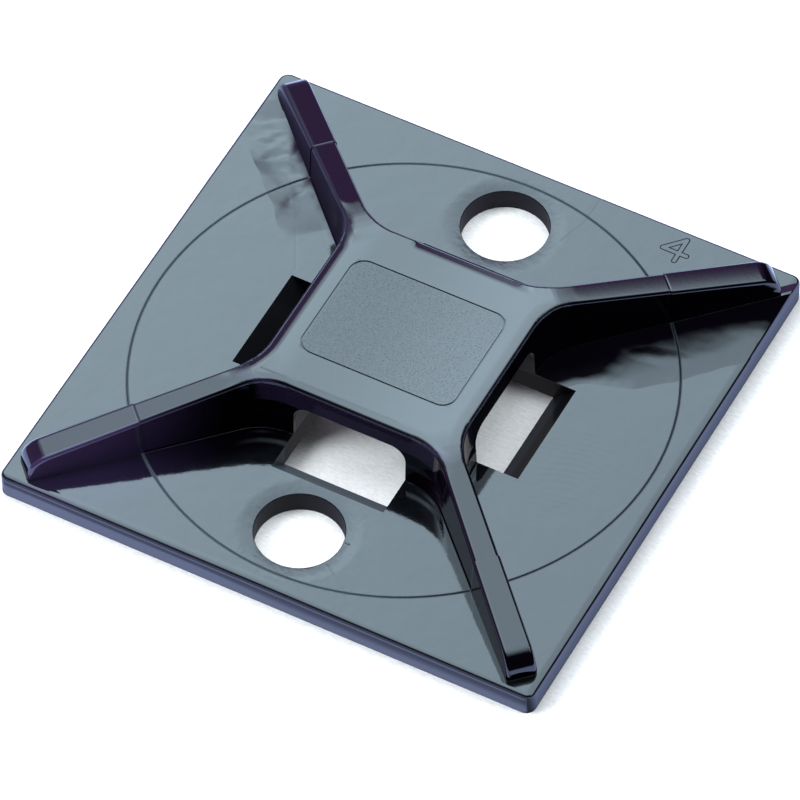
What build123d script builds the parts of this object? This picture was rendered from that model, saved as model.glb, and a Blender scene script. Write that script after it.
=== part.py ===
from build123d import *
import math
import os

# A four-way cable tie mount, moulded in one piece. Lengths are in millimetres.
# The origin is the centre of the plate's underside, +Z points up out of the
# plate, and the two screw holes lie on the Y axis.

# Base plate
plate_side = 28.0
plate_thickness = 1.2
plate_corner_radius = 0.5
plate_rim_radius = 0.15

# Screw holes, with the wall that they leave at the plate's edge
screw_hole_diameter = 4.3
screw_hole_edge_wall = 1.55
screw_hole_rim_break = 0.03

# Bridge in the middle, its four sides parallel to the plate's sides
bridge_foot_side = 10.84
bridge_height = 4.45
bridge_roof_thickness = 1.2
bridge_flare_radius = 3.05
draft_degrees = 2.5

# Diagonal ribs. Their outer ends are wider, because what lies outside the
# round insert is formed by another part of the mould.
rib_foot_width = 1.42
rib_end_foot_width = 1.5
rib_corner_gap = 1.3
rib_tip_rise = 1.134
rib_slope_lead = 0.365
rib_slope_blend_radius = 3.0
rib_nose_radius = 1.15
top_edge_radius = 0.2
rib_end_edge_radius = 0.18
foot_radius = 0.06

# Round mould insert, which leaves a fine parting line on the plate
insert_edge_gap = 1.0
insert_line_width = 0.1
insert_line_depth = 0.05

# Tie tunnels under the bridge, one along X and one along Y. Each ends in two
# windows through the plate, and the outer end of a window is a ramp.
tunnel_width = 5.9
tunnel_corner_radius = 0.8
window_length = 2.16
window_ramp_degrees = 45.0

# Panel outlined on the bridge
panel_length = 8.2
panel_width = 6.2
panel_corner_radius = 0.8
panel_line_width = 0.1
panel_line_depth = 0.05

# Ejector marks on the underside, below the ribs
ejector_mark_diameter = 2.0
ejector_mark_depth = 0.04
ejector_mark_corner_gap = 8.8

# Every cut runs past the faces that it opens by this much
cut_overrun = 0.5

# Sizes that follow from the ones above
plate_half_diagonal = plate_side / math.sqrt(2)
rib_reach = plate_half_diagonal - rib_corner_gap
rib_tip_height = plate_thickness + rib_tip_rise
rib_slope_start = bridge_foot_side / math.sqrt(2) - rib_slope_lead
insert_radius = plate_side / 2 - insert_edge_gap
screw_hole_radius = screw_hole_diameter / 2
screw_hole_pitch = plate_side - 2 * (screw_hole_edge_wall + screw_hole_radius)
tunnel_height = bridge_height - bridge_roof_thickness
window_reach = bridge_foot_side / 2 + window_length
ramp_run = plate_thickness / math.tan(math.radians(window_ramp_degrees))
overrun_run = cut_overrun / math.tan(math.radians(window_ramp_degrees))
rib_angles = (45, 135, 225, 315)


def upper_outline(body, lowest):
    """Edges above a height where the faces that look up meet the walls."""
    up_share = 0.17
    edges_at = {}
    for face in body.faces():
        if face.normal_at().Z > up_share:
            for edge in face.edges():
                middle = edge @ 0.5
                if middle.Z > lowest:
                    key = tuple(round(value, 4) for value in (middle.X, middle.Y, middle.Z))
                    edges_at.setdefault(key, []).append(edge)
    return [edges[0] for edges in edges_at.values() if len(edges) == 1]


def edges_at_height(body, height):
    """Edges that lie wholly at one height."""
    return [
        edge
        for edge in body.edges()
        if all(round(place.Z - height, 4) == 0 for place in (edge @ 0, edge @ 0.5, edge @ 1))
    ]


# Side view of two opposite ribs with the bridge between them, made solid and
# as wide as the plate
with BuildPart() as rib_envelope:
    with BuildSketch(Plane.XZ) as rib_profile:
        with BuildLine():
            Polyline(
                (-rib_reach, 0),
                (-rib_reach, rib_tip_height),
                (-rib_slope_start, bridge_height),
                (rib_slope_start, bridge_height),
                (rib_reach, rib_tip_height),
                (rib_reach, 0),
                close=True,
            )
        make_face()
        slope_starts = rib_profile.vertices().group_by(Axis.Y)[2]
        fillet(slope_starts, rib_slope_blend_radius)
        rib_tips = rib_profile.vertices().group_by(Axis.Y)[1]
        fillet(rib_tips, rib_nose_radius)
    extrude(amount=plate_side, both=True)

# Plate with a softly rounded upper rim
with BuildPart() as plate:
    with BuildSketch():
        RectangleRounded(plate_side, plate_side, plate_corner_radius)
    extrude(amount=plate_thickness)
    fillet(plate.edges().group_by(Axis.Z)[-1], plate_rim_radius)

# Bridge and inner ribs, drafted towards the top and flared into each other
with BuildPart() as crown:
    with BuildSketch(Plane.XY.offset(plate_thickness)):
        Rectangle(bridge_foot_side, bridge_foot_side)
    extrude(amount=bridge_height - plate_thickness, taper=draft_degrees)
    for angle in rib_angles[0:2]:
        with BuildSketch(Plane.XY.offset(plate_thickness)):
            with Locations(Rotation(0, 0, angle)):
                Rectangle(2 * (insert_radius + cut_overrun), rib_foot_width)
        extrude(amount=bridge_height - plate_thickness, taper=draft_degrees)
    inner_corners = crown.edges().filter_by(Plane.XY, reverse=True).sort_by(SortBy.DISTANCE)[0:8]
    fillet(inner_corners, bridge_flare_radius)
    for angle in rib_angles[0:2]:
        add(rib_envelope.part.rotate(Axis.Z, angle), mode=Mode.INTERSECT)
    crown_edges = [
        edge
        for edge in upper_outline(crown.part, plate_thickness)
        if math.hypot((edge @ 0.5).X, (edge @ 0.5).Y) < insert_radius
    ]
    fillet(crown_edges, top_edge_radius)

# All that the round insert forms: the crown on its share of the plate
with BuildPart() as insert_core:
    add(plate.part)
    add(crown.part)
    foot_edges = [
        edge
        for edge in edges_at_height(insert_core.part, plate_thickness)
        if max(abs((edge @ 0.5).X), abs((edge @ 0.5).Y)) < insert_radius
    ]
    fillet(foot_edges, foot_radius)
    with BuildSketch():
        Circle(insert_radius)
    extrude(amount=bridge_height, mode=Mode.INTERSECT)

# Outer end of one rib, along +X before it is turned to its diagonal
with BuildPart() as rib_end:
    with BuildSketch(Plane.XY.offset(plate_thickness)):
        with Locations((insert_radius - cut_overrun, 0)):
            Rectangle(
                rib_reach - insert_radius + 2 * cut_overrun,
                rib_end_foot_width,
                align=(Align.MIN, Align.CENTER),
            )
    extrude(amount=bridge_height - plate_thickness, taper=draft_degrees)
    add(rib_envelope.part, mode=Mode.INTERSECT)
    long_edges = [
        edge for edge in upper_outline(rib_end.part, plate_thickness) if round((edge @ 0.5).Y, 4) != 0
    ]
    upright_edges = rib_end.edges().filter_by(GeomType.LINE).group_by(Axis.X)[-1]
    upright_edges = [edge for edge in upright_edges if edge.bounding_box().size.Z > edge.length / 2]
    fillet(long_edges + upright_edges, rib_end_edge_radius)
    with BuildSketch():
        Circle(insert_radius)
    extrude(amount=bridge_height, mode=Mode.SUBTRACT)

# Cutter for the tunnel along Y with its two windows
with BuildPart() as tunnel_cutter:
    with BuildSketch(Plane.XZ) as bore_section:
        with Locations((0, tunnel_height)):
            Rectangle(
                tunnel_width,
                tunnel_height + cut_overrun,
                align=(Align.CENTER, Align.MAX),
            )
        fillet(bore_section.vertices().group_by(Axis.Y)[-1], tunnel_corner_radius)
    extrude(amount=bridge_foot_side / 2 + cut_overrun, both=True)
    with BuildSketch(Plane.YZ):
        with BuildLine():
            Polyline(
                (-window_reach + ramp_run + overrun_run, -cut_overrun),
                (window_reach - ramp_run - overrun_run, -cut_overrun),
                (window_reach + overrun_run, plate_thickness + cut_overrun),
                (-window_reach - overrun_run, plate_thickness + cut_overrun),
                close=True,
            )
        make_face()
    extrude(amount=tunnel_width / 2, both=True)

# Cutter for one screw hole, with the break at its upper rim
with BuildPart() as screw_hole_cutter:
    with BuildSketch(Plane.XZ):
        with BuildLine():
            Polyline(
                (0, -cut_overrun),
                (screw_hole_radius, -cut_overrun),
                (screw_hole_radius, plate_thickness - screw_hole_rim_break),
                (screw_hole_radius + screw_hole_rim_break, plate_thickness),
                (screw_hole_radius + screw_hole_rim_break, plate_thickness + cut_overrun),
                (0, plate_thickness + cut_overrun),
                close=True,
            )
        make_face()
    revolve(axis=Axis.Z)

# Ring that cuts the insert's parting line, left out where the ribs stand
with BuildPart() as insert_line_cutter:
    with BuildSketch(Plane.XZ):
        with BuildLine():
            Polyline(
                (insert_radius, plate_thickness - insert_line_depth),
                (insert_radius + insert_line_width / 2, plate_thickness),
                (insert_radius + insert_line_width / 2, plate_thickness + cut_overrun),
                (insert_radius - insert_line_width / 2, plate_thickness + cut_overrun),
                (insert_radius - insert_line_width / 2, plate_thickness),
                close=True,
            )
        make_face()
    revolve(axis=Axis.Z)
    with BuildSketch():
        for angle in rib_angles[0:2]:
            with Locations(Rotation(0, 0, angle)):
                Rectangle(2 * rib_reach, rib_end_foot_width + 2 * foot_radius)
    extrude(amount=bridge_height, mode=Mode.SUBTRACT)

# The whole moulding
with BuildPart() as mount:
    add(plate.part)
    add(insert_core.part)
    for angle in rib_angles:
        add(rib_end.part.rotate(Axis.Z, angle))
    for angle in (0, 90):
        add(tunnel_cutter.part.rotate(Axis.Z, angle), mode=Mode.SUBTRACT)
    with GridLocations(0, screw_hole_pitch, 1, 2):
        add(screw_hole_cutter.part, mode=Mode.SUBTRACT)
    add(insert_line_cutter.part, mode=Mode.SUBTRACT)
    with BuildSketch(Plane.XY.offset(bridge_height - panel_line_depth)):
        RectangleRounded(panel_length, panel_width, panel_corner_radius)
        RectangleRounded(
            panel_length - 2 * panel_line_width,
            panel_width - 2 * panel_line_width,
            panel_corner_radius - panel_line_width,
            mode=Mode.SUBTRACT,
        )
    extrude(amount=panel_line_depth + cut_overrun, mode=Mode.SUBTRACT)
    with BuildSketch():
        with PolarLocations(
            plate_half_diagonal - ejector_mark_corner_gap, len(rib_angles), start_angle=rib_angles[0]
        ):
            Circle(ejector_mark_diameter / 2)
    extrude(amount=ejector_mark_depth, mode=Mode.SUBTRACT)

mount.part.label = "mount"
os.makedirs("parts", exist_ok=True)
export_step(mount.part, "parts/mount.step")
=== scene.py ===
import math

import bpy
from bpy.props import FloatProperty, FloatVectorProperty, PointerProperty
from mathutils import Matrix, Vector


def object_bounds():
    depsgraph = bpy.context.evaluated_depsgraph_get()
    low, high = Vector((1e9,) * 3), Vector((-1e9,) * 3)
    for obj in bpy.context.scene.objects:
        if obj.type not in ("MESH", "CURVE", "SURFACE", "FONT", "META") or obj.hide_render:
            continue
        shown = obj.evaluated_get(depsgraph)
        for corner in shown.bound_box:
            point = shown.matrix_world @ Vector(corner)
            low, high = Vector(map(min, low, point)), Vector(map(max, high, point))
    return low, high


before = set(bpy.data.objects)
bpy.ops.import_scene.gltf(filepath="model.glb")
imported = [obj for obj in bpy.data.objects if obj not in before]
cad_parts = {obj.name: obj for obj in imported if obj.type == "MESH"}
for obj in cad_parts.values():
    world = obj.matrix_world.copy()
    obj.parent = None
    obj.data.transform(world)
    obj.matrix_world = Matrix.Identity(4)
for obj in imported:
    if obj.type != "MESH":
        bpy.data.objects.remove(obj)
cad_low, cad_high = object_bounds()

bl_info = {
    "name": "Cable Tie Mount",
    "version": (1, 0, 0),
    "blender": (4, 5, 0),
    "location": "3D View > Sidebar > Tie Mount",
    "description": "Glossy black nylon for a moulded cable tie mount, and the white stage that it stands on",
    "category": "Material",
}

MM = 0.001


# Shader expressions


class Value:
    """A number on its way through a shader, so that its maths reads as Python."""

    def __init__(self, shader, socket):
        self.shader = shader
        self.socket = socket

    def math(self, operation, *others, clamp=False):
        return self.shader.math(operation, self, *others, clamp=clamp)

    def __add__(self, other):
        return self.math("ADD", other)

    __radd__ = __add__

    def __mul__(self, other):
        return self.math("MULTIPLY", other)

    __rmul__ = __mul__

    def __sub__(self, other):
        return self.math("SUBTRACT", other)

    def __rsub__(self, other):
        return self.shader.math("SUBTRACT", other, self)

    def __truediv__(self, other):
        return self.math("DIVIDE", other)

    def __abs__(self):
        return self.math("ABSOLUTE")

    def least(self, other):
        return self.math("MINIMUM", other)

    def most(self, other):
        return self.math("MAXIMUM", other)

    def root(self):
        return self.math("SQRT")

    def clamped(self):
        return self.math("ADD", 0.0, clamp=True)

    def step(self, start, end, low=0.0, high=1.0):
        """Goes smoothly from low to high as this value goes from start to end."""
        node = self.shader.add(
            "ShaderNodeMapRange",
            {"interpolation_type": "SMOOTHSTEP"},
            {"Value": self, "From Min": start, "From Max": end, "To Min": low, "To Max": high},
        )
        return Value(self.shader, node.outputs["Result"])

    def fade(self, start, end):
        """Goes smoothly from one to zero as this value goes from start to end."""
        return self.step(start, end, 1.0, 0.0)


class Shader:
    """Adds nodes to the tree of one material or world."""

    def __init__(self, owner):
        owner.use_nodes = True
        self.tree = owner.node_tree
        self.tree.nodes.clear()

    def add(self, kind, settings=None, sockets=None):
        """One node: its settings are set first, and then its sockets get values or links."""
        node = self.tree.nodes.new(kind)
        for name, value in (settings or {}).items():
            setattr(node, name, value)
        for name, value in (sockets or {}).items():
            socket = node.inputs[name]
            if isinstance(value, Value):
                self.tree.links.new(value.socket, socket)
            elif isinstance(value, bpy.types.NodeSocket):
                self.tree.links.new(value, socket)
            else:
                socket.default_value = value
        return node

    def math(self, operation, *values, clamp=False):
        node = self.add(
            "ShaderNodeMath",
            {"operation": operation, "use_clamp": clamp},
            dict(enumerate(values)),
        )
        return Value(self, node.outputs[0])

    def millimetres(self):
        """The place on the object in millimetres, as a vector and as its three numbers."""
        place = self.add("ShaderNodeTexCoord").outputs["Object"]
        node = self.add("ShaderNodeVectorMath", {"operation": "SCALE"}, {0: place, "Scale": 1.0 / MM})
        return node.outputs["Vector"], self.axes(node.outputs["Vector"])

    def axes(self, vector):
        """The three numbers of a vector."""
        node = self.add("ShaderNodeSeparateXYZ", None, {"Vector": vector})
        return [Value(self, socket) for socket in node.outputs]

    def stretched(self, vector, scale, turn):
        """A vector turned about Z, in degrees, and scaled apart along each axis."""
        node = self.add(
            "ShaderNodeMapping",
            None,
            {"Vector": vector, "Scale": scale, "Rotation": (0.0, 0.0, math.radians(turn))},
        )
        return node.outputs["Vector"]

    def noise(self, vector, scale, detail, roughness):
        """Noise around zero, about one unit high in all."""
        node = self.add(
            "ShaderNodeTexNoise",
            {"noise_dimensions": "3D"},
            {"Vector": vector, "Scale": scale, "Detail": detail, "Roughness": roughness},
        )
        return Value(self, node.outputs[0]) - 0.5

    def blend(self, factor, first, second):
        """A colour between two colours."""
        node = self.add("ShaderNodeMix", {"data_type": "RGBA"}, {"Factor": factor, 6: first, 7: second})
        return node.outputs[2]

    def light_path(self, output):
        return Value(self, self.add("ShaderNodeLightPath").outputs[output])


def colour(value, strength=1.0):
    return (value[0] * strength, value[1] * strength, value[2] * strength, 1.0)


# Settings


class MountNylonSettings(bpy.types.PropertyGroup):
    body: FloatVectorProperty(
        name="Body",
        description="Colour of the nylon itself, under its gloss",
        subtype="COLOR",
        size=3,
        min=0.0,
        max=1.0,
        default=(0.0005, 0.0002, 0.0006),
    )
    # Painted light: a violet glow laid over the front of the bridge and the left rib, not a colour of the
    # nylon
    painted_haze: FloatVectorProperty(
        name="Haze",
        description="Colour of the violet haze towards the end of the left rib",
        subtype="COLOR",
        size=3,
        min=0.0,
        max=1.0,
        default=(0.032, 0.018, 0.048),
    )
    dust: FloatVectorProperty(
        name="Dust",
        description="Colour of the faint bloom and dust on the nylon",
        subtype="COLOR",
        size=3,
        min=0.0,
        max=1.0,
        default=(0.006, 0.0065, 0.007),
    )
    gloss_index: FloatProperty(
        name="Index",
        description="Refractive index of the nylon, which sets how much it reflects",
        min=1.3,
        max=1.8,
        default=1.53,
    )
    gloss_roughness: FloatProperty(
        name="Gloss roughness",
        description="Roughness of the polished faces",
        subtype="FACTOR",
        min=0.0,
        max=1.0,
        default=0.07,
    )
    panel_roughness: FloatProperty(
        name="Panel roughness",
        description="Roughness that the spark texture adds to the panel on the bridge",
        subtype="FACTOR",
        min=0.0,
        max=1.0,
        default=0.14,
    )
    waviness: FloatProperty(
        name="Waviness",
        description="How strongly the faces wave where the moulding has sunk, as a share of the usual",
        subtype="FACTOR",
        min=0.0,
        max=3.0,
        default=1.0,
    )
    plate_side: FloatProperty(
        name="Plate side",
        description="Side of the square plate",
        subtype="DISTANCE",
        unit="LENGTH",
        default=cad_high[0] - cad_low[0],
    )
    plate_thickness: FloatProperty(
        name="Plate thickness",
        description="Height of the plate's upper face",
        subtype="DISTANCE",
        unit="LENGTH",
        default=1.2 * MM,
    )
    bridge_side: FloatProperty(
        name="Bridge side",
        description="Side of the bridge's square upper face",
        subtype="DISTANCE",
        unit="LENGTH",
        default=10.556 * MM,
    )
    panel_length: FloatProperty(
        name="Panel length",
        description="Length along X of the panel on the bridge",
        subtype="DISTANCE",
        unit="LENGTH",
        default=8.0 * MM,
    )
    panel_width: FloatProperty(
        name="Panel width",
        description="Width along Y of the panel on the bridge",
        subtype="DISTANCE",
        unit="LENGTH",
        default=6.0 * MM,
    )
    insert_radius: FloatProperty(
        name="Insert radius",
        description="Radius of the parting line that the round mould insert leaves",
        subtype="DISTANCE",
        unit="LENGTH",
        default=13.0 * MM,
    )
    hole_radius: FloatProperty(
        name="Hole radius",
        description="Radius of the screw holes",
        subtype="DISTANCE",
        unit="LENGTH",
        default=2.15 * MM,
    )
    hole_centre: FloatProperty(
        name="Hole centre",
        description="Distance of each screw hole from the middle of the plate, along Y",
        subtype="DISTANCE",
        unit="LENGTH",
        default=10.3 * MM,
    )


class MountStageSettings(bpy.types.PropertyGroup):
    azimuth: FloatProperty(
        name="Azimuth",
        description="Angle of the camera round the mount, from -Y towards +X, in degrees",
        default=28.739,
    )
    elevation: FloatProperty(
        name="Elevation",
        description="Angle of the camera above the floor, in degrees",
        default=51.716,
    )
    roll: FloatProperty(
        name="Roll",
        description="Turn of the camera about its own line of sight, in degrees",
        default=-0.95,
    )
    distance: FloatProperty(
        name="Distance",
        description="Distance of the camera from its target",
        subtype="DISTANCE",
        unit="LENGTH",
        default=388.64 * MM,
    )
    target: FloatVectorProperty(
        name="Target",
        description="Point on the floor that the camera looks at",
        subtype="TRANSLATION",
        unit="LENGTH",
        size=3,
        default=(0.0596 * MM, -0.5183 * MM, 0.0),
    )
    lens: FloatProperty(
        name="Lens",
        description="Focal length on a sensor 36 mm wide, in millimetres",
        default=371.77,
    )
    floor: FloatVectorProperty(
        name="Floor",
        description="Colour of the white paper floor",
        subtype="COLOR",
        size=3,
        min=0.0,
        max=1.0,
        default=(0.97, 0.79, 0.7),
    )
    floor_gloss: FloatVectorProperty(
        name="Floor in the gloss",
        description="Light of the bright paper as the gloss of the plastic shows it",
        subtype="COLOR",
        size=3,
        min=0.0,
        max=4.0,
        default=(1.4, 1.7, 2.85),
    )
    panel_light: FloatVectorProperty(
        name="Panel light",
        description="Colour of the large soft panel overhead",
        subtype="COLOR",
        size=3,
        min=0.0,
        max=1.0,
        default=(0.66, 0.875, 1.0),
    )
    panel_strength: FloatProperty(
        name="Panel strength",
        description="Brightness of the large soft panel overhead",
        min=0.0,
        default=6.45,
    )
    left_fill: FloatProperty(
        name="Left fill",
        description="Power of the soft light from the front left",
        subtype="POWER",
        unit="POWER",
        min=0.0,
        default=1.3,
    )
    right_fill: FloatProperty(
        name="Right fill",
        description="Power of the soft light from the right",
        subtype="POWER",
        unit="POWER",
        min=0.0,
        default=0.8,
    )
    room: FloatVectorProperty(
        name="Room",
        description="Colour of the dim room behind and to the left",
        subtype="COLOR",
        size=3,
        min=0.0,
        max=1.0,
        default=(0.37, 0.21, 0.58),
    )
    dark: FloatVectorProperty(
        name="Dark",
        description="Colour of the dark room in front and to the right",
        subtype="COLOR",
        size=3,
        min=0.0,
        max=1.0,
        default=(0.025, 0.02, 0.045),
    )


# Nylon

# Share of each axis in one unit along a diagonal
DIAGONAL = math.sqrt(0.5)

# Places in the solid that the marks follow, in millimetres
BRIDGE_HEIGHT = (cad_high[2] - cad_low[2]) / MM
TUNNEL_HEIGHT = 3.25
TUNNEL_REACH = 5.2
WINDOW_REACH = 7.58
RAMP_FOOT = 6.4
FLARE_RADIUS = 3.05
FLARE_START = 3.21
RIB_HALF_FOOT = 0.73
RIB_SLOPE_START = 7.3
TICK_OFFSET = 0.36
RING_CENTRE = (11.0, -11.0)

# Faces that fall towards an edge: how far in it starts, and how deep it gets, in millimetres
PLATE_NEAR_EDGE = (0.32, 0.12)
PLATE_RIGHT_EDGE = (0.45, 0.05)
BRIDGE_NEAR_EDGE = (0.55, 0.08)
BRIDGE_RIGHT_EDGE = (0.7, 0.05)
BRIDGE_LEFT_EDGE = (0.65, 0.16)
BRIDGE_LEFT_SAG = (1.8, 0.05)
BRIDGE_FAR_EDGE = (0.62, 0.14)
RIB_SLOPE_EDGE = (1.3, 0.06)
LEFT_RIB_EDGE = (0.25, 0.03)
TOP_RIB_FOOT = (0.45, 0.04)
HOLE_SINK = (0.9, 0.065)

# Heights and depths of the other marks, in millimetres
LIP_HEIGHT = 0.006
NUMBER_HEIGHT = 0.05
HOLLOW_DEPTH = 0.05
FLOW_DEPTH = 0.002
MARK_DEPTH = 0.006
RING_HEIGHT = 0.0006
GRAIN_HEIGHT = 0.0004
SPARK_HEIGHT = 0.005

# Scale, detail and roughness of each noise on the moulding
MOTTLE = (2.2, 4.0, 0.6)
WAVE = (0.55, 1.5, 0.5)
RIPPLE = (2.6, 2.0, 0.55)
GRAIN = (5.5, 2.0, 0.6)
SPECK = (11.0, 1.0, 0.6)

# Straight marks on the upper faces, each from its start to its end in millimetres
FLOW_MARKS = (
    ((2.74, 10.68), (3.26, 12.2)),
    ((3.26, 12.2), (3.3, 13.7)),
    ((2.02, -11.39), (3.55, -12.44)),
    ((3.55, -12.44), (3.84, -12.83)),
)
SEAM_MARKS = (((-9.77, 7.01), (-8.57, 5.2)), ((-8.57, 5.2), (-7.55, 3.31)))
WITNESS_MARKS = (((-4.9, -4.86), (-3.6, -4.84)), ((-2.9, -4.82), (2.2, -4.8)))
NUMBER_MARKS = (
    ((8.1, 13.5), (7.25, 12.6)),
    ((7.25, 12.6), (8.5, 12.6)),
    ((8.1, 13.5), (8.1, 12.1)),
)

# Colours of the duller faces: the near ramp and the tunnel walls carry painted light, and the top rib's left
# flank a painted violet glow
ERODED_DEEP = (0.0135, 0.0118, 0.0175)
ERODED_PALE = (0.021, 0.0188, 0.0265)
# Painted reflection: grey-blue on the near ramp, for the lit paper that it mirrors
NEAR_RAMP_REFLECTION = (0.06, 0.072, 0.085)
# Painted light: pale grey on the tunnel walls for the paper's light that they reflect, weaker towards the
# right
TUNNEL_WALL_LIGHT = (0.17, 0.175, 0.18)
PARTING_LEFT = (0.055, 0.062, 0.068)
PARTING_RIGHT = (0.025, 0.028, 0.033)
# Painted light: dark violet on the top rib's left flank and on the rib steps to the left, the violet glow
# over the left side; these faces are also made matt
PAINTED_VIOLET_FLANK = (0.011, 0.007, 0.016)

# Other looks of the duller faces and of the gloss
MATT_ROUGHNESS = 0.55
MATT_INDEX = 1.35
COAT_WEIGHT = 0.38
LEAST_ROUGHNESS = 0.02


def line_distance(x, y, start, end):
    """Distance from a straight mark that runs from start to end."""
    run = (end[0] - start[0], end[1] - start[1])
    square = run[0] ** 2 + run[1] ** 2
    from_x = x - start[0]
    from_y = y - start[1]
    share = (from_x * (run[0] / square) + from_y * (run[1] / square)).clamped()
    off_x = from_x - share * run[0]
    off_y = from_y - share * run[1]
    return (off_x * off_x + off_y * off_y).root()


def marks_distance(x, y, marks):
    """Distance from the nearest of several straight marks."""
    nearest = line_distance(x, y, *marks[0])
    for mark in marks[1:]:
        nearest = nearest.least(line_distance(x, y, *mark))
    return nearest


def roll_off(gap, reach, drop):
    """Height that a face loses towards an edge, from a gap of one reach to the edge itself."""
    inside = (reach - gap.most(0.0)).most(0.0)
    return inside * inside * (-drop / reach**2)


def flare_gap(out, along, side):
    """Distance from one side of the bridge, and from the flares that join it to its two ribs."""
    from_x = side + FLARE_RADIUS - out
    from_y = (abs(along) - FLARE_START).most(0.0)
    return (from_x * from_x + from_y * from_y).root() - FLARE_RADIUS


def dent(x, y, centre, reach, turn):
    """A soft oval hollow one unit deep, with its long axis turned from X by an angle in degrees."""
    cosine, sine = math.cos(math.radians(turn)), math.sin(math.radians(turn))
    from_x = x - centre[0]
    from_y = y - centre[1]
    lengthwise = from_x * (cosine / reach[0]) + from_y * (sine / reach[0])
    sideways = from_y * (cosine / reach[1]) - from_x * (sine / reach[1])
    inside = (1.0 - lengthwise * lengthwise - sideways * sideways).most(0.0)
    return inside * inside * -1.0


class Skin:
    """Works out the marks on the moulding from a place on it. Its lengths are millimetres."""

    def __init__(self, shader, looks):
        self.shader = shader
        self.looks = looks
        place, (x, y, z) = shader.millimetres()
        self.x, self.y, self.z = x, y, z
        self.top = looks.plate_thickness / MM
        self.bridge = looks.bridge_side / MM / 2
        half = looks.plate_side / MM / 2
        self.from_front = y + half
        self.from_right = half - x
        hole_y = abs(y) - looks.hole_centre / MM
        self.from_rim = (x * x + hole_y * hole_y).root() - looks.hole_radius / MM
        self.from_insert = abs((x * x + y * y).root() - looks.insert_radius / MM)

        # Out along any rib from the middle, and along the right and the top rib
        self.outward = (abs(x) + abs(y)) * DIAGONAL
        self.right_out = (x + y) * DIAGONAL
        self.top_out = (y - x) * DIAGONAL

        # Noise at the scales that the moulding shows
        self.mottle = shader.noise(place, *MOTTLE)
        self.wave = shader.noise(place, *WAVE)
        self.ripple = shader.noise(place, *RIPPLE)
        self.grain = shader.noise(place, *GRAIN)
        self.speck = shader.noise(place, *SPECK)
        self.drift = self.wave * 1.2 + self.ripple * 0.12

        self.find_regions()
        self.find_lines()

    def find_regions(self):
        """Shares of the solid's faces, from zero to one."""
        x, y, z, top, looks = self.x, self.y, self.z, self.top, self.looks
        self.on_bridge = z.step(BRIDGE_HEIGHT - 0.15, BRIDGE_HEIGHT - 0.01)
        self.on_ribs = z.step(top + 0.2, top + 0.6)
        self.on_plate = z.step(top - 0.08, top - 0.03) * z.fade(top + 0.01, top + 0.03)
        self.low = z.fade(top + 0.03, top + 0.09)
        panel_x = looks.panel_length / MM / 2
        panel_y = looks.panel_width / MM / 2
        self.on_panel = abs(x).fade(panel_x - 0.05, panel_x) * abs(y).fade(panel_y - 0.05, panel_y)
        self.on_panel = self.on_panel * self.on_bridge
        outermost = abs(x).most(abs(y))
        under_top = z.fade(top - 0.04, top - 0.01)
        self.in_window = outermost.fade(WINDOW_REACH + 0.04, WINDOW_REACH + 0.12) * under_top
        self.in_tunnel = (
            outermost.fade(TUNNEL_REACH - 0.1, TUNNEL_REACH)
            * z.fade(TUNNEL_HEIGHT - 0.03, TUNNEL_HEIGHT + 0.01)
            * z.step(top, top + 0.05)
        )
        self.eroded = (self.in_window + self.from_rim.fade(0.02, 0.1) * under_top).clamped()
        self.on_front = (
            y.fade(-self.bridge - 0.02, -self.bridge + 0.02)
            * z.step(TUNNEL_HEIGHT - 0.15, TUNNEL_HEIGHT - 0.05)
            * outermost.fade(5.6, 5.8)
        )
        self.halo = self.from_rim.fade(0.1, 1.3)
        self.top_flank = (
            self.right_out.fade(-0.5, -0.38)
            * self.right_out.step(-0.9, -0.8)
            * self.top_out.step(6.0, 6.8)
            * z.step(top + 0.03, top + 0.08)
        )

    def find_lines(self):
        """Parting lines, flow lines, witness marks, the cavity's number, and painted shade on the fillets at
        the ribs' base and across the near wall.
        """
        x, y, z, top, looks = self.x, self.y, self.z, self.top, self.looks
        self.insert = self.from_insert.fade(0.03, 0.12) * self.low
        self.rib_steps = self.from_insert.fade(0.0, 0.09) * self.on_ribs
        self.left_steps = self.rib_steps * x.fade(-4.0, -2.0)
        self.flow = marks_distance(x, y, FLOW_MARKS).fade(0.0, 0.07) * self.on_plate
        self.seam = marks_distance(x, y, SEAM_MARKS).fade(0.0, 0.1) * self.on_plate
        self.witness = marks_distance(x, y, WITNESS_MARKS).fade(0.01, 0.06) * self.on_bridge
        self.number = marks_distance(x, y, NUMBER_MARKS).fade(0.09, 0.15) * self.on_plate
        hole = looks.hole_radius / MM
        self.ticks = (
            abs(y + (looks.hole_centre / MM - TICK_OFFSET)).fade(0.02, 0.06)
            * abs(x).step(hole + 0.03, hole + 0.06)
            * abs(x).fade(hole + 0.28, hole + 0.34)
            * self.on_plate
        )
        # Painted shade: the concave fillets where the crown and the ribs meet the plate are painted black
        # and matt, as dark creases
        self.foot_shade = z.step(top + 0.004, top + 0.012) * z.fade(top + 0.055, top + 0.08)
        # Painted shade: a strip across the near wall, under the plate's upper edge, painted black and matt
        # where shade falls
        self.shade_band = (
            z.step(x.step(-4.0, 2.0, 0.62, 0.28), 0.84)
            * z.fade(0.96, 1.04)
            * self.from_front.fade(0.03, 0.08)
        )

    def plate_height(self):
        """The plate rolls off towards its near and right edges, behind a fine lip on the left."""
        lip = self.from_front.fade(0.38, 0.54) * self.x.fade(-2.0, 2.0)
        height = roll_off(self.from_front, *PLATE_NEAR_EDGE) + roll_off(self.from_right, *PLATE_RIGHT_EDGE)
        return (height + lip * LIP_HEIGHT) * self.z.fade(self.top + 0.02, self.top + 0.1)

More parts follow.
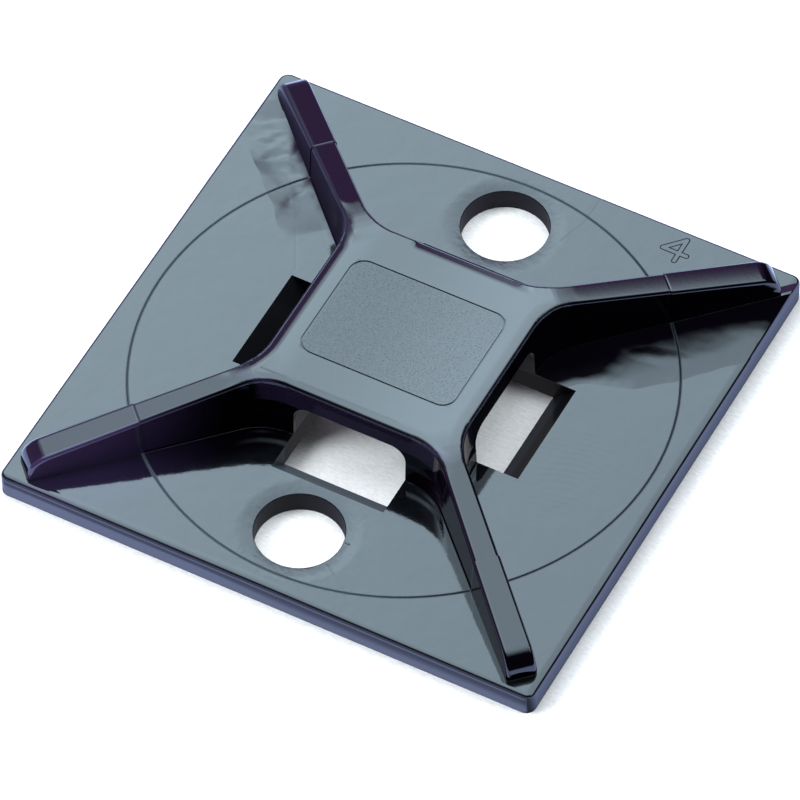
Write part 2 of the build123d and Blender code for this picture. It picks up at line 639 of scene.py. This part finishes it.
    def bridge_height(self):
        """The bridge rolls off towards its four sides and their flares."""
        x, y, bridge = self.x, self.y, self.bridge
        between_flares = self.outward.fade(5.7, 6.7)
        height = (
            roll_off(flare_gap(y * -1.0, x, bridge), *BRIDGE_NEAR_EDGE)
            + roll_off(flare_gap(x, y, bridge), *BRIDGE_RIGHT_EDGE)
            + roll_off(flare_gap(x * -1.0, y, bridge), *BRIDGE_LEFT_EDGE)
            + roll_off(x + bridge, *BRIDGE_LEFT_SAG) * between_flares
            + roll_off(bridge - y, *BRIDGE_FAR_EDGE) * x.step(-2.2, -1.8) * between_flares
        )
        return height * self.z.step(2.0, 2.6) * self.outward.fade(7.2, 9.0)

    def rib_height(self):
        """The ribs fall before they leave the bridge. The right one is crowned, the left one rounder."""
        from_slope = self.outward - RIB_SLOPE_START
        from_slope = (from_slope * from_slope + 0.06).root()
        crown = self.top_out * self.top_out * -0.06 * self.right_out.step(7.5, 9.0)
        left_edge = roll_off(0.62 - self.top_out, *LEFT_RIB_EDGE) * self.right_out.fade(-9.5, -8.5)
        return (roll_off(from_slope, *RIB_SLOPE_EDGE) + crown + left_edge) * self.on_ribs

    def climb(self):
        """Skin that sweeps up to the left side of the top rib, in uneven waves."""
        right_out, top_out = self.right_out, self.top_out
        distance = right_out * -1.0 - RIB_HALF_FOOT
        waves = ((top_out + self.drift) * 2.7).math("SINE") * 0.06 + self.wave * 0.3 + 0.85
        climb = (2.25 + self.wave * 0.8 - distance.most(0.0)).most(0.0)
        climb = climb * waves * 0.17 * top_out.step(9.6, 11.2)
        climb = climb - roll_off(distance, *TOP_RIB_FOOT) * top_out.step(8.0, 9.5)
        return climb * right_out.fade(-0.6, -0.2) * top_out.step(3.0, 4.0) * top_out.fade(14.0, 19.5)

    def sweep(self):
        """Skin that sweeps up to the near side of the right rib."""
        right_out, top_out = self.right_out, self.top_out
        distance = (top_out * -1.0 - RIB_HALF_FOOT).most(0.0)
        reach = right_out.step(7.5, 10.5, 2.2, 3.35) - right_out.step(15.0, 17.5, 0.0, 0.8)
        share = (1.0 - distance / (reach + self.wave * 0.4)).most(0.0)
        sweep = share * share * right_out.step(7.5, 10.5, 2.2, 1.2) + share * 0.4
        hollow = dent(self.x + self.drift, self.y + self.drift, (10.2, 6.6), (1.7, 0.6), 20.0)
        return (sweep + hollow * HOLLOW_DEPTH) * right_out.step(2.0, 3.0) * top_out.fade(-0.6, -0.2)

    def rings(self):
        """Fine rings that the flowing nylon has left on the right."""
        from_x = self.x - RING_CENTRE[0]
        from_y = self.y - RING_CENTRE[1]
        rings = ((from_x * from_x + from_y * from_y).root() + self.wave * 0.9) * 18.0
        where = dent(self.x, self.y, (9.9, -1.4), (5.4, 3.8), 80.0)
        return rings.math("SINE") * (1.0 + self.mottle * 2.5) * where

    def height(self):
        """Height that the bump adds to the solid, in millimetres."""
        waves = self.wave * 0.008 + self.ripple * 0.0018 + self.mottle * 0.0012
        sunk = roll_off(self.from_rim, *HOLE_SINK) + self.halo * self.mottle * 0.02
        steep_foot = (self.z - self.top).most(0.0).least(0.08) * 2.0
        return (
            self.plate_height()
            + self.bridge_height()
            + self.rib_height()
            + (self.climb() + self.sweep() + waves) * self.looks.waviness * self.on_plate
            + (sunk + self.rings() * RING_HEIGHT) * self.on_plate
            + self.grain * (GRAIN_HEIGHT + (self.on_panel + self.on_ribs * 0.2) * SPARK_HEIGHT)
            + self.number * NUMBER_HEIGHT
            + steep_foot
            - (self.flow + self.seam) * FLOW_DEPTH
            - (self.witness + self.ticks + self.rib_steps) * MARK_DEPTH
        )

    def roughness(self):
        """Roughness of the gloss, higher on the panel, the edges and the lines."""
        rim = self.from_front.fade(0.02, 0.17) * self.z.step(self.top - 0.2, self.top - 0.1) * self.low
        edge = self.z.step(BRIDGE_HEIGHT - 0.25, BRIDGE_HEIGHT - 0.17)
        edge = edge * self.z.fade(BRIDGE_HEIGHT - 0.03, BRIDGE_HEIGHT - 0.01)
        return (
            self.looks.gloss_roughness
            + self.mottle * 0.05
            + self.grain * 0.04
            + self.halo * self.on_plate * 0.06
            + self.on_panel * (self.looks.panel_roughness + self.grain * 0.15)
            + rim * 0.5
            + edge * 0.2
            + self.insert * 0.3
            + (self.flow + self.ticks + self.witness) * 0.15
        ).most(LEAST_ROUGHNESS)

    def gloss_colour(self):
        """Faint bloom of dust on the faces that look up, taken out beside the ribs' near flanks as painted
        shade, and a painted violet glow of light on the front and the left rib.
        """
        s, looks, right_out, top_out = self.shader, self.looks, self.right_out, self.top_out
        # Painted shade: the dust is taken out beside the ribs' near flanks, so the plate stays dark where it
        # reflects them
        flank_reflection_shade = abs(right_out).step(3.0, 5.0) * top_out.step(-2.8, -1.6) * top_out.fade(-0.5, 0.0)
        bloom = (self.mottle * 0.8 + self.wave * 0.5 + 0.35).clamped()
        bloom = bloom * self.on_plate.most(self.on_bridge) * (1.0 - flank_reflection_shade)
        in_reflection = top_out.step(-3.4, -2.4, 0.08, 0.3)
        # Painted light: a violet glow that grows towards the left end of the left rib, fainter where the
        # plate reflects it
        painted_haze = (
            (right_out * -1.0).step(8.5, 16.0)
            * self.z.step(self.top, self.top + 0.15, in_reflection, 1.0)
            * top_out.step(-0.62, -0.45, 1.0, 0.1)
        )
        base = s.blend(bloom, colour(looks.body), colour(looks.dust))
        return s.blend(painted_haze.most(self.on_front * 0.3), base, colour(looks.painted_haze))

    def matt_colour(self):
        """Eroded windows and holes, the parting line, painted light on the near ramp and the tunnel walls,
        painted black shade on the faces that get no light, and a painted violet glow on the left.
        """
        s, x = self.shader, self.x
        near_ramp = self.y.fade(-RAMP_FOOT, -RAMP_FOOT + 0.2) * self.in_window
        right_ramp = x.step(RAMP_FOOT - 0.1, RAMP_FOOT + 0.1) * self.z.step(0.5, 0.7) * self.in_window
        # Painted shade: the left windows, the right ramp, the strip on the near wall and the crease fillets
        # take the black body colour
        black = (x.fade(-5.0, -3.0) * self.in_window).most(right_ramp).most(self.shade_band).most(self.foot_shade)
        parting = s.blend(x.step(2.0, 8.0), colour(PARTING_LEFT), colour(PARTING_RIGHT))
        paint = s.blend((self.mottle + 0.5).clamped(), colour(ERODED_DEEP), colour(ERODED_PALE))
        for share, layer in (
            (near_ramp, colour(NEAR_RAMP_REFLECTION)),
            (black, colour(self.looks.body)),
            (self.in_tunnel * x.step(2.0, 4.0, 1.0, 0.3), colour(TUNNEL_WALL_LIGHT)),
            (self.insert, parting),
            (self.top_flank.most(self.left_steps), colour(PAINTED_VIOLET_FLANK)),
        ):
            paint = s.blend(share, paint, layer)
        return paint

    def dullness(self):
        """Share of the matt surface over the gloss."""
        dullness = self.on_panel * self.speck.step(0.0, 0.25) * 0.42
        for share, strength in (
            (self.eroded, 0.76),
            (self.shade_band, 0.95),
            (self.in_tunnel, 0.85),
            (self.insert, 0.7),
            (self.top_flank, 0.85),
            (self.foot_shade, 0.9),
            (self.left_steps, 0.9),
        ):
            dullness = dullness.most(share * strength)
        return dullness


def nylon_material(looks):
    """Near-black glossy nylon with the marks that its mould leaves."""
    material = bpy.data.materials.new("glossy_black_nylon")
    s = Shader(material)
    skin = Skin(s, looks)
    bump = s.add("ShaderNodeBump", None, {"Strength": 1.0, "Distance": MM, "Height": skin.height()})
    gloss = s.add(
        "ShaderNodeBsdfPrincipled",
        None,
        {
            "Base Color": skin.gloss_colour(),
            "Roughness": skin.roughness(),
            "IOR": looks.gloss_index,
            "Coat Weight": skin.on_bridge * skin.x.step(-3.0, 6.0, 0.0, COAT_WEIGHT),
            "Normal": bump.outputs["Normal"],
        },
    )
    matt = s.add(
        "ShaderNodeBsdfPrincipled",
        None,
        {
            "Base Color": skin.matt_colour(),
            "Roughness": MATT_ROUGHNESS,
            "IOR": MATT_INDEX,
            "Normal": bump.outputs["Normal"],
        },
    )
    mixed = s.add(
        "ShaderNodeMixShader",
        None,
        {0: skin.dullness(), 1: gloss.outputs["BSDF"], 2: matt.outputs["BSDF"]},
    )
    s.add("ShaderNodeOutputMaterial", None, {"Surface": mixed.outputs["Shader"]})
    return material


class MOUNT_OT_nylon(bpy.types.Operator):
    """Give the moulding its glossy black nylon"""

    bl_idname = "mount.nylon"
    bl_label = "Nylon Moulding"

    def execute(self, context):
        material = nylon_material(context.scene.mount_nylon)
        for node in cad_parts.values():
            for slot in node.material_slots:
                slot.material = material
        return {"FINISHED"}


# Stage

BLACK = (0.0, 0.0, 0.0)
SENSOR_WIDTH = 36.0

# Half the floor's side, the fills' size and distance, and what the camera sees, in metres
FLOOR_REACH = 1.5
FILL_SIZE = 0.16
FILL_DISTANCE = 0.3
NEAREST_SEEN = 0.01
FARTHEST_SEEN = 50.0

# Ways from the mount to the two fills
LEFT_FILL_WAY = (-0.62, -0.5, 0.7)
RIGHT_FILL_WAY = (0.8, 0.35, 0.5)

# Looks of the white paper, the painted shadow beside its right wall, the glow that the gloss shows under the
# plate as painted reflection, and the colour that the camera sees behind it
PAPER_ROUGHNESS = 0.9
PAPER_SPECULAR = 0.2
FIBRE_SHADE = 0.8
# Painted shadow: grey laid on the paper next to the plate's right wall
FLOOR_SHADOW = (0.1, 0.1, 0.12)
# Painted reflection: the dim glow that the gloss sees on the paper under the plate
UNDER_PLATE_GLOW = (0.25, 0.25, 0.27)
BACKDROP = (0.95, 0.95, 0.97)

# Brightness of the overhead panel's brightest part, as a share of the strength that is set
PANEL_PEAK = 1.4


def camera_axes(stage):
    """Right, up and back of the camera, from its azimuth, elevation and roll."""
    azimuth, elevation, roll = (math.radians(a) for a in (stage.azimuth, stage.elevation, stage.roll))
    back = Vector(
        (
            math.sin(azimuth) * math.cos(elevation),
            -math.cos(azimuth) * math.cos(elevation),
            math.sin(elevation),
        )
    )
    level = Vector((math.cos(azimuth), math.sin(azimuth), 0.0))
    upright = back.cross(level)
    right = math.cos(roll) * level + math.sin(roll) * upright
    up = math.cos(roll) * upright - math.sin(roll) * level
    return right, up, back


def placed(right, up, back, eye):
    """Matrix of an object that looks against its back axis."""
    return Matrix(
        (
            (right.x, up.x, back.x, eye.x),
            (right.y, up.y, back.y, eye.y),
            (right.z, up.z, back.z, eye.z),
            (0.0, 0.0, 0.0, 1.0),
        )
    )


def add_camera(stage):
    """The camera at the photograph's angle."""
    data = bpy.data.cameras.new("camera")
    data.lens = stage.lens
    data.sensor_width = SENSOR_WIDTH
    data.clip_start = NEAREST_SEEN
    data.clip_end = FARTHEST_SEEN
    camera = bpy.data.objects.new("camera", data)
    right, up, back = camera_axes(stage)
    camera.matrix_world = placed(right, up, back, Vector(stage.target) + back * stage.distance)
    bpy.context.scene.collection.objects.link(camera)
    bpy.context.scene.camera = camera


def add_floor(stage, looks):
    """White paper with a painted shadow beside the plate's right wall, which the gloss of the plastic shows
    as a bright sheet of painted light near the mount.
    """
    mesh = bpy.data.meshes.new("floor")
    corners = [(x * FLOOR_REACH, y * FLOOR_REACH, 0.0) for x, y in ((-1, -1), (1, -1), (1, 1), (-1, 1))]
    mesh.from_pydata(corners, [], [(0, 1, 2, 3)])
    material = bpy.data.materials.new("white_paper")
    s = Shader(material)
    place, (x, y, _) = s.millimetres()
    half = looks.plate_side / MM / 2
    fibre = s.noise(s.stretched(place, (1.0, 4.0, 1.0), 20.0), 2.2, 4.0, 0.65)
    speck = s.noise(place, 6.0, 2.0, 0.6)
    texture = (fibre * 2.2 + speck * 1.2 + 0.5).clamped()
    paint = s.blend(texture, colour(stage.floor, FIBRE_SHADE), colour(stage.floor))
    past_right = x - half
    # Painted shadow: the paper darkens within a few millimetres of the plate's right wall
    painted_shadow = past_right.step(0.0, 2.2, 0.25, 0.0) * past_right.step(-0.1, 0.0)
    paint = s.blend(painted_shadow, paint, colour(FLOOR_SHADOW))
    paper = s.add(
        "ShaderNodeBsdfPrincipled",
        None,
        {"Base Color": paint, "Roughness": PAPER_ROUGHNESS, "Specular IOR Level": PAPER_SPECULAR},
    )
    outside = abs(x).most(abs(y)).step(half - 0.1, half + 0.1)
    near = (x * x + y * y).root().step(28.0, 60.0, 1.0, 0.06)
    shade = past_right.step(-0.1, 1.9, 0.22, 1.0).most(past_right.fade(-0.3, -0.1))
    sheet = s.blend(near * shade, colour(BLACK), colour(stage.floor_gloss))
    # Painted reflection: under the plate the gloss sees a constant dim glow in place of the paper
    sheet = s.blend(outside, colour(UNDER_PLATE_GLOW), sheet)
    bright = s.add("ShaderNodeEmission", None, {"Color": sheet, "Strength": 1.0})
    surface = s.add(
        "ShaderNodeMixShader",
        None,
        {
            0: s.light_path("Is Glossy Ray"),
            1: paper.outputs["BSDF"],
            2: bright.outputs["Emission"],
        },
    )
    s.add("ShaderNodeOutputMaterial", None, {"Surface": surface.outputs["Shader"]})
    mesh.materials.append(material)
    floor = bpy.data.objects.new("floor", mesh)
    bpy.context.scene.collection.objects.link(floor)


def add_room(stage):
    """A large soft panel overhead, in a dim room, as light from the world."""
    world = bpy.data.worlds.new("studio")
    bpy.context.scene.world = world
    s = Shader(world)
    way = s.add("ShaderNodeTexCoord").outputs["Generated"]
    x, y, z = s.axes(way)
    azimuth = math.radians(stage.azimuth)
    front = x * math.sin(azimuth) - y * math.cos(azimuth)
    side = x * math.cos(azimuth) + y * math.sin(azimuth)
    above = z.most(0.001)
    ahead = front / above
    across = side / above
    right_edge = (ahead + 1.0) * 0.6
    panel = (
        ahead.step(-1.6, -1.25)
        * ahead.fade(-0.15, 0.5)
        * across.step(-0.8, -0.12)
        * (across - right_edge).fade(0.12, 0.68)
        * ahead.step(-1.0, -0.55, 1.22, 0.82)
        * ahead.step(-1.1, -0.85, 0.6, 1.0)
        * across.step(-0.1, 0.12, 1.05, 0.8)
        * z.step(0.0, 0.1)
    )
    dark = front.step(-0.3, 0.2).most(side.step(0.25, 0.6))
    room = s.blend(dark, colour(stage.room), colour(stage.dark))
    lamp = colour(stage.panel_light, stage.panel_strength * PANEL_PEAK)
    light = s.blend((panel / PANEL_PEAK).clamped(), room, lamp)
    light = s.blend(s.light_path("Is Camera Ray"), light, colour(BACKDROP))
    background = s.add("ShaderNodeBackground", None, {"Color": light, "Strength": 1.0})
    s.add("ShaderNodeOutputWorld", None, {"Surface": background.outputs["Background"]})


def add_fill(stage, name, way, power):
    """A soft light from one side, which the gloss of the plastic doesn't show."""
    data = bpy.data.lights.new(name, "AREA")
    data.shape = "DISK"
    data.size = FILL_SIZE
    data.energy = power
    data.color = stage.panel_light
    light = bpy.data.objects.new(name, data)
    back = Vector(way).normalized()
    right = Vector((0.0, 0.0, 1.0)).cross(back).normalized()
    light.matrix_world = placed(right, back.cross(right), back, back * FILL_DISTANCE)
    light.visible_glossy = False
    bpy.context.scene.collection.objects.link(light)


class MOUNT_OT_stage(bpy.types.Operator):
    """Make the floor, the light and the camera"""

    bl_idname = "mount.stage"
    bl_label = "Stage"

    def execute(self, context):
        stage = context.scene.mount_stage
        add_floor(stage, context.scene.mount_nylon)
        add_room(stage)
        add_fill(stage, "left_fill", LEFT_FILL_WAY, stage.left_fill)
        add_fill(stage, "right_fill", RIGHT_FILL_WAY, stage.right_fill)
        add_camera(stage)
        context.scene.view_settings.view_transform = "Standard"
        return {"FINISHED"}


# Panel and registration


class MOUNT_PT_sidebar(bpy.types.Panel):
    """The mount's operators and settings"""

    bl_idname = "MOUNT_PT_sidebar"
    bl_label = "Cable Tie Mount"
    bl_space_type = "VIEW_3D"
    bl_region_type = "UI"
    bl_category = "Tie Mount"

    def draw(self, context):
        layout = self.layout
        for operator, settings in (
            (MOUNT_OT_nylon, context.scene.mount_nylon),
            (MOUNT_OT_stage, context.scene.mount_stage),
        ):
            box = layout.box()
            box.operator(operator.bl_idname)
            for name in settings.bl_rna.properties.keys():
                if name not in {"rna_type", "name"}:
                    box.prop(settings, name)


CLASSES = (
    MountNylonSettings,
    MountStageSettings,
    MOUNT_OT_nylon,
    MOUNT_OT_stage,
    MOUNT_PT_sidebar,
)


def register():
    for cls in CLASSES:
        bpy.utils.register_class(cls)
    bpy.types.Scene.mount_nylon = PointerProperty(type=MountNylonSettings)
    bpy.types.Scene.mount_stage = PointerProperty(type=MountStageSettings)


def unregister():
    del bpy.types.Scene.mount_stage
    del bpy.types.Scene.mount_nylon
    for cls in reversed(CLASSES):
        bpy.utils.unregister_class(cls)


def main():
    register()
    bpy.ops.mount.nylon()
    bpy.ops.mount.stage()


if __name__ == "__main__":
    main()
